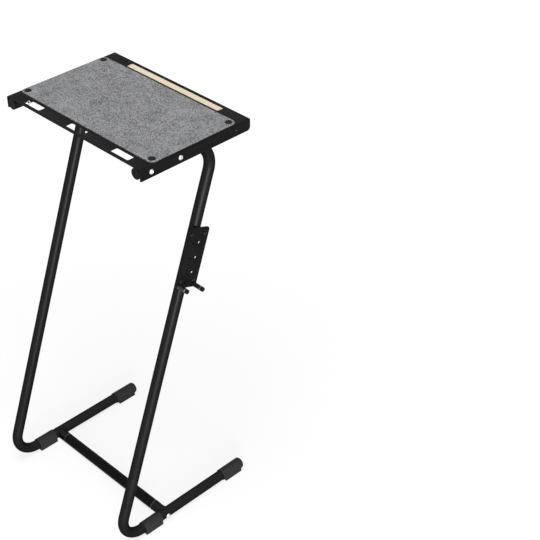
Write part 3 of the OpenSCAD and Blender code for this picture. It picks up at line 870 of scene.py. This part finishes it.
def tighten_nose(bm):
    """Draws the fold along the nose out to a smaller circle that touches the same two faces."""
    tighter = NOSE_FOLD - TIGHT_FOLD
    centre = Vector((top_high.y - NOSE_FOLD, top_high.z - NOSE_FOLD))
    for corner in bm.verts:
        from_centre = corner.co.yz / MM - centre
        if from_centre.x > -0.01 and from_centre.y > -0.01:
            drawn = centre + Vector((tighter, tighter)) + from_centre * (1 - tighter / from_centre.length)
            corner.co.y, corner.co.z = drawn * MM


make_piece("folded_top", softened("tabletop", SHEET_EDGE, tighten_nose), "coated_sheet", ["tabletop"])

# %% [markdown]
# ## The wooden bar
#
# The bar is a planed strip with its edges eased by a few strokes of sandpaper. The packed
# node already has its groove and its screw holes, so a copy of it with rounder edges than
# the sheet's is all that it needs, and the maple does the rest.

# %% Wooden bar
SANDED_EDGE = 0.9
make_piece("wooden_bar", softened("wood_bar", SANDED_EDGE), "maple", ["wood_bar"])

# %% [markdown]
# ## The felt mat
#
# The mat is a flat sheet of felt with rounded corners and four holes for its studs. It
# could be one smooth slab, but felt is never quite smooth, so the mat starts as a fine grid
# whose upper side is then moved up and down by a noise that is the same at every run, and
# whose edge is rolled off where the knife has pressed it.

# %% The mat's sizes
MAT_CELL, MAT_R = 2.4, 13.0
STUD_INSET, STUD_HOLE_R = 14.0, 9.2
SWELLS_PER_MM, SWELL = 0.11, 0.16
LUMPS_PER_MM, LUMP = 0.43, 0.14
SETTLED, ROLLED_OFF = 0.2, 0.55
mat_low, mat_high = box_mm("felt_mat")
MAT_W, MAT_D = mat_high.x - mat_low.x, mat_high.y - mat_low.y
MAT_MID = Vector(((mat_low.x + mat_high.x) / 2, (mat_low.y + mat_high.y) / 2))
stud_x, stud_y = MAT_W / 2 - STUD_INSET, MAT_D / 2 - STUD_INSET
stud_spots = [Vector((sx * stud_x, sy * stud_y)) for sx in (-1, 1) for sy in (-1, 1)]
print("mat:", round(MAT_W, 1), "x", round(MAT_D, 1), "x", round(mat_high.z - mat_low.z, 1), "mm")


# %% Felt mat
def felt_mesh():
    """A grid with rounded corners and stud holes, thickened and made uneven on top."""
    bm = bmesh.new()
    columns, rows = round(MAT_W / MAT_CELL), round(MAT_D / MAT_CELL)
    bmesh.ops.create_grid(bm, x_segments=columns, y_segments=rows, size=0.5)
    bmesh.ops.scale(bm, vec=(MAT_W, MAT_D, 1), verts=bm.verts)
    # Corners of the mat: what lies beyond the rounding's centre is pulled onto its circle.
    for corner in bm.verts:
        beyond = Vector((abs(corner.co.x) - (MAT_W / 2 - MAT_R), abs(corner.co.y) - (MAT_D / 2 - MAT_R)))
        if beyond.x > 0 and beyond.y > 0:
            pulled = beyond * (max(beyond) / beyond.length)
            corner.co.x = math.copysign(MAT_W / 2 - MAT_R + pulled.x, corner.co.x)
            corner.co.y = math.copysign(MAT_D / 2 - MAT_R + pulled.y, corner.co.y)
    # Stud holes: the faces inside are deleted, and the rim is pushed out to a circle.
    for spot in stud_spots:
        inside = [f for f in bm.faces if (f.calc_center_median().xy - spot).length < STUD_HOLE_R]
        rim = {v for f in inside for v in f.verts if any(g not in inside for g in v.link_faces)}
        bmesh.ops.delete(bm, geom=inside, context="FACES")
        for corner in rim:
            corner.co.xy = spot + (corner.co.xy - spot).normalized() * STUD_HOLE_R
    # Thickness: the grid stays as the underside, and a copy of it is lifted as the upper side.
    lifted = bmesh.ops.extrude_face_region(bm, geom=list(bm.faces))["geom"]
    upper_corners = [item for item in lifted if isinstance(item, bmesh.types.BMVert)]
    upper_faces = {item for item in lifted if isinstance(item, bmesh.types.BMFace)}
    bmesh.ops.translate(bm, vec=(0, 0, mat_high.z - mat_low.z), verts=upper_corners)
    for corner in upper_corners:
        swell = SWELL * noise.noise(corner.co * SWELLS_PER_MM)
        corner.co.z += swell + LUMP * noise.noise(corner.co * LUMPS_PER_MM) - SETTLED
        if not upper_faces.issuperset(corner.link_faces):
            corner.co.z -= ROLLED_OFF
    bmesh.ops.recalc_face_normals(bm, faces=bm.faces)
    to_place = at(MAT_MID.x, MAT_MID.y, mat_low.z) @ Matrix.Scale(MM, 4)
    bmesh.ops.transform(bm, matrix=to_place, verts=bm.verts)
    return bm


felt = make_piece("felt_mat_laid", felt_mesh(), "felt", ["felt_mat"], 70.0)

# %% [markdown]
# ## Studs
#
# Four press studs hold the mat at its corners. Each is a shallow plastic cap with a rolled
# rim round a slightly sunk middle. A plain disc would lose the thin light line of that rim,
# so the cap is turned from one short outline and placed four times.

# %% Studs
STUD_R, STUD_ROUND = 9.0, 0.7
stud_low, stud_high = box_mm("mat_studs")
stud_top = stud_high.z - stud_low.z
stud_rings = [
    (STUD_R, 0), (STUD_R, stud_top - STUD_ROUND),
    *arc(STUD_R - STUD_ROUND, stud_top - STUD_ROUND, STUD_ROUND, 20, 90, 4),
    (STUD_R - 2.4, stud_top), (STUD_R - 3.0, stud_top - 0.25), (1.2, stud_top - 0.3),
]
studs = bmesh.new()
for spot in stud_spots:
    add_stack(studs, at(MAT_MID.x + spot.x, MAT_MID.y + spot.y, mat_low.z), stud_rings, 48)
make_piece("press_studs", studs, "stud", ["mat_studs"])

# %% [markdown]
# ## Bolts and nuts
#
# The top hangs on four button-head bolts, two in each side flange, that go through the
# tubes into hex nuts. A button head is a low dome with a six-sided socket, and a nut is a
# six-sided prism whose corners are turned off by a cone. Both are stacks of rings, some
# round and some six-sided, so the sockets, corners and threads are real edges that catch
# the light. No two bolts on a real desk stop at the same turn, so each has its own here.

# %% Outlines of bolts
THREAD_PITCH, THREAD_DEPTH = 1.25, 0.45
HEAD_EDGE, SOCKET_LIP, SOCKET_ROOM, SOCKET_DEPTH = 0.12, 1.16, 0.64, 0.55


def head_rings(width, height, socket):
    """A button head from its seat up, then down into its hex socket."""
    edge, depth = HEAD_EDGE * height, SOCKET_DEPTH * height
    tilts = [math.radians(8 * i) for i in range(9)]
    crown = [(width / 2 * math.cos(a), edge + (height - edge) * math.sin(a)) for a in tilts]
    crown = [point for point in crown if point[0] > socket * SOCKET_ROOM]
    return [
        (width / 2 - edge, 0), (width / 2, edge * 0.6), *crown, (socket / 2 * SOCKET_LIP, height),
        (socket / 2, height - 0.25, 6), (socket / 2, height - depth, 6), (socket / 5, height - depth * 1.15),
    ]


def thread_rings(radius, start, end, pitch):
    """Ridges of a thread, from start down to end."""
    rings = [(radius, start)]
    here = start
    while here - pitch > end:
        rings += [(radius, here - 0.2 * pitch), (radius - THREAD_DEPTH * pitch, here - 0.5 * pitch)]
        here -= pitch
        rings.append((radius, here))
    return rings + [(radius - 0.6, end)]


def bolt_rings(width, height, socket, thread, length):
    """A whole bolt from its tip to its socket, seat at height 0."""
    tail = thread_rings(thread / 2, -length / 2, -length, THREAD_PITCH * thread / 8)
    return [*reversed(tail), (thread / 2, -0.1), *head_rings(width, height, socket)]


print("bolt outlines ready, thread pitch:", THREAD_PITCH, "mm on an 8 mm bolt")

# %% Flange bolts
BOLT_HEAD_D, BOLT_HEAD_H, BOLT_SOCKET, BOLT_THREAD = 13.0, 4.4, 5.0, 8.0
FLANGE_BOLT_TURNS = (12, 41)
bolt_low, bolt_high = box_mm("flange_bolts_right")
BOLT_Y = (bolt_low.y + BOLT_HEAD_D / 2, bolt_high.y - BOLT_HEAD_D / 2)
BOLT_Z = (bolt_low.z + bolt_high.z) / 2
FLANGE_X = bolt_high.x - BOLT_HEAD_H


def frame_bolt(length):
    """The outline of one of the desk's six large bolts."""
    return bolt_rings(BOLT_HEAD_D, BOLT_HEAD_H, BOLT_SOCKET, BOLT_THREAD, length)


for word, side in SIDES:
    bolts = bmesh.new()
    for turn, bolt_y in zip(FLANGE_BOLT_TURNS, BOLT_Y):
        add_stack(bolts, seat(side, FLANGE_X, bolt_y, BOLT_Z, turn), frame_bolt(FLANGE_X - bolt_low.x))
    make_piece(f"flange_bolts_{word}_turned", bolts, "bright_bolt", [f"flange_bolts_{word}"])

# %% Flange nuts
NUT_HEX, NUT_BORE_R, NUT_MOUTH_R, NUT_MOUTH, NUT_EDGE, NUT_CONE = 13.0, 4.0, 4.4, 0.6, 0.35, 0.45
NUT_FACE_R = NUT_HEX * 0.475
FLANGE_NUT_TURNS = (7, 22)
nut_low, nut_high = box_mm("flange_nuts_right")
nut_h = nut_high.x - nut_low.x
nut_rings = [
    (NUT_BORE_R, NUT_MOUTH), (NUT_MOUTH_R, 0), (NUT_FACE_R, 0),
    (NUT_HEX / 2, NUT_EDGE, 6, -NUT_CONE), (NUT_HEX / 2, nut_h - NUT_EDGE, 6, NUT_CONE),
    (NUT_FACE_R, nut_h), (NUT_MOUTH_R, nut_h), (NUT_BORE_R, nut_h - NUT_MOUTH),
]
for word, side in SIDES:
    nuts = bmesh.new()
    for turn, bolt_y in zip(FLANGE_NUT_TURNS, BOLT_Y):
        add_stack(nuts, seat(side, nut_low.x, bolt_y, BOLT_Z, turn), nut_rings, closed=True)
    make_piece(f"flange_nuts_{word}_turned", nuts, "bright_bolt", [f"flange_nuts_{word}"])

# %% [markdown]
# ## Bolts of the crossbar and screws of the wooden bar
#
# One more large bolt on each side goes through the runner and the stub into the crossbar,
# and a small dark screw on each side holds the wooden bar between the flanges. They use the
# same outline in two sizes. Each packed screw's box gives the place and the length, so the
# new one fills the same hole.

# %% Crossbar bolts
CROSSBAR_BOLT_TURN = 20


def packed_screw(node_name, side, head_h, turn=0.0):
    """Where a packed screw is seated, its length under the head, and how wide its head is."""
    low, high = box_mm(node_name)
    outer_x, inner_x = max(abs(low.x), abs(high.x)), min(abs(low.x), abs(high.x))
    place = seat(side, outer_x - head_h, (low.y + high.y) / 2, (low.z + high.z) / 2, turn)
    return place, outer_x - head_h - inner_x, high.y - low.y


for word, side in SIDES:
    name = f"crossbar_bolt_{word}"
    place, length, head_d = packed_screw(name, side, BOLT_HEAD_H, CROSSBAR_BOLT_TURN)
    bolt = bmesh.new()
    add_stack(bolt, place, frame_bolt(length))
    make_piece(f"{name}_turned", bolt, "bright_bolt", [name])

# %% Wood bar screws
BAR_HEAD_H, BAR_SOCKET, BAR_THREAD = 2.0, 2.0, 3.5
for word, side in SIDES:
    name = f"bar_screw_{word}"
    place, length, head_d = packed_screw(name, side, BAR_HEAD_H)
    screw = bmesh.new()
    add_stack(screw, place, bolt_rings(head_d, BAR_HEAD_H, BAR_SOCKET, BAR_THREAD, length))
    make_piece(f"{name}_turned", screw, "zinc_screw", [name], paint=FINISHES["dark_screw"])

# %% [markdown]
# ## Plugs in the top bars
#
# A round plastic plug closes each top bar. What shows is its rim, as wide as the tube, with
# a rounded edge and a shallow dish. A flat cap on the tube would do from afar, but the neck
# that sits in the bore is drawn too, so the plug is a whole part that could be pulled out.

# %% Top bar plugs
NECK_R, PLUG_ROUND = 12.6, 0.8
for word, side in SIDES:
    name = f"top_bar_plug_{word}"
    low, high = box_mm(name)
    rim_r, length = (high.x - low.x) / 2, high.y - low.y
    plug_rings = [
        (10.0, 0), (NECK_R, 0), (NECK_R, length - PLUG_RIM), (rim_r, length - PLUG_RIM),
        *arc(rim_r - PLUG_ROUND, length - PLUG_ROUND, PLUG_ROUND, 0, 90, 4),
        (rim_r - 3.0, length), (rim_r - 3.6, length - 0.5), (2.0, length - 0.6),
    ]
    plug = bmesh.new()
    add_stack(plug, at((low.x + high.x) / 2, high.y, (low.z + high.z) / 2) @ spin(90, "X"), plug_rings, 48)
    make_piece(f"{name}_moulded", plug, "plastic_plug", [name])

# %% [markdown]
# ## Rubber feet
#
# A rubber sleeve grips each lower bend and a rubber cap closes each runner, both with a
# flat sole. Their form is right as packed, so each is a copy with rounder edges than the
# steel has. The two halves of a mould meet along the top of such a part and leave a fine
# groove. Three cuts with a plane give the groove its corners, and the middle ones are
# pushed down.

# %% Feet
FOOT_EDGE = 1.0
SEAM_HALF, SEAM_DEPTH, SEAM_REACH = 0.9, 0.8, 3.5
SEAMS = (("heel", -5.0), ("toe", 2.5))
SEAM_LOWEST = box_mm("heel_foot_right")[1].z - SEAM_REACH


def foot_mesh(node_name, middle):
    """A softened copy of a foot with the groove that its mould leaves along the top."""
    bm = softened(node_name, FOOT_EDGE)
    for off in (-SEAM_HALF, 0.0, SEAM_HALF):
        bmesh.ops.bisect_plane(
            bm, geom=[*bm.verts, *bm.edges, *bm.faces], dist=1e-6,
            plane_co=((middle + off) * MM, 0, 0), plane_no=(1, 0, 0),
        )
    for corner in bm.verts:
        if abs(corner.co.x / MM - middle) < 0.01 and corner.co.z / MM > SEAM_LOWEST:
            corner.co.z -= SEAM_DEPTH * MM
    return bm


for word, side in SIDES:
    for kind, seam_x in SEAMS:
        name = f"{kind}_foot_{word}"
        make_piece(f"{name}_moulded", foot_mesh(name, side * FRAME_X + seam_x), "rubber_foot", [name])

# %% [markdown]
# ## Accessory plate
#
# A plate with two rows of holes is screwed to four ears on the right tube. It is cut from
# sheet like the top, so its copy gets the same fine edges. The four screws follow the
# tube's lean, so they are placed by how far they are out of the desk, across the tube and
# along it, and one function turns that into a place on the desk.

# %% Accessory plate
make_piece(
    "accessory_plate_cut", softened("accessory_plate", SHEET_EDGE), "coated_sheet", ["accessory_plate"]
)

# %% Plate screws
PLATE_AT = 841.5
PLATE_OUT = box_mm("accessory_plate")[1].x - FRAME_X
PLATE_HEAD_D, PLATE_HEAD_H, PLATE_SOCKET, PLATE_THREAD, PLATE_SCREW_L = 9.5, 2.8, 3.0, 5.0, 8.0
SCREW_ACROSS, SCREW_ALONG = 22.0, 62.0


def on_upright(out, across, along):
    """A place on the right upright: out of the desk, across the tube and up along it."""
    heel = at(FRAME_X, HEEL_Y, RUNNER_Z) @ Matrix.Rotation(-LEAN, 4, "X")
    return heel @ at(out, across, PLATE_AT + along) @ spin(90, "Y")


plate_screw = bolt_rings(PLATE_HEAD_D, PLATE_HEAD_H, PLATE_SOCKET, PLATE_THREAD, PLATE_SCREW_L)
screws = bmesh.new()
for across in (-SCREW_ACROSS, SCREW_ACROSS):
    for along in (-SCREW_ALONG, SCREW_ALONG):
        add_stack(screws, on_upright(PLATE_OUT, across, along), plate_screw)
make_piece("plate_screws_turned", screws, "black_screw", ["plate_screws"])

# %% [markdown]
# ## Pegs
#
# Two pegs for hanging things on stand out of the plate's lower end. Each is a coated rod
# with a thin steel ring and a rubber cap with a rounded end. The three are turned as pieces
# of their own, so each keeps its own finish and a clean line where they meet.

# %% Pegs
PEG_R, PEG_BODY, PEG_EDGE = 6.0, 26.4, 0.4
SPIGOT_R, SPIGOT_L = 3.0, 3.0
PEG_ACROSS, PEG_ALONG = 26.5, -73.0
peg_outline = [
    (SPIGOT_R, -SPIGOT_L), (SPIGOT_R, 0), (PEG_R - PEG_EDGE, 0), (PEG_R, PEG_EDGE),
    (PEG_R, PEG_BODY - PEG_EDGE), (PEG_R - PEG_EDGE, PEG_BODY),
]
for word, across in (("front", PEG_ACROSS), ("rear", -PEG_ACROSS)):
    peg = bmesh.new()
    add_stack(peg, on_upright(PLATE_OUT, across, PEG_ALONG), peg_outline, 48)
    make_piece(f"peg_{word}_turned", peg, "peg", [f"peg_{word}"])

# %% Rings and caps of the pegs
RING_R, RING_L, RING_EDGE = 5.6, 1.6, 0.2
CAP_L, CAP_EDGE, CAP_ROUND = 7.0, 0.3, 1.6
ring_outline = [
    (RING_R - RING_EDGE, 0), (RING_R, RING_EDGE), (RING_R, RING_L - RING_EDGE), (RING_R - RING_EDGE, RING_L)
]
cap_outline = [
    (PEG_R - CAP_EDGE, 0), (PEG_R, CAP_EDGE), (PEG_R, CAP_L - CAP_ROUND),
    *arc(PEG_R - CAP_ROUND, CAP_L - CAP_ROUND, CAP_ROUND, 15, 90, 5), (1.0, CAP_L),
]
peg_rings = bmesh.new()
peg_caps = bmesh.new()
for across in (PEG_ACROSS, -PEG_ACROSS):
    add_stack(peg_rings, on_upright(PLATE_OUT + PEG_BODY, across, PEG_ALONG), ring_outline, 48)
    add_stack(peg_caps, on_upright(PLATE_OUT + PEG_BODY + RING_L, across, PEG_ALONG), cap_outline, 48)
make_piece("peg_rings_turned", peg_rings, "zinc_screw", ["peg_rings"])
make_piece("peg_caps_moulded", peg_caps, "peg_cap", ["peg_caps"])
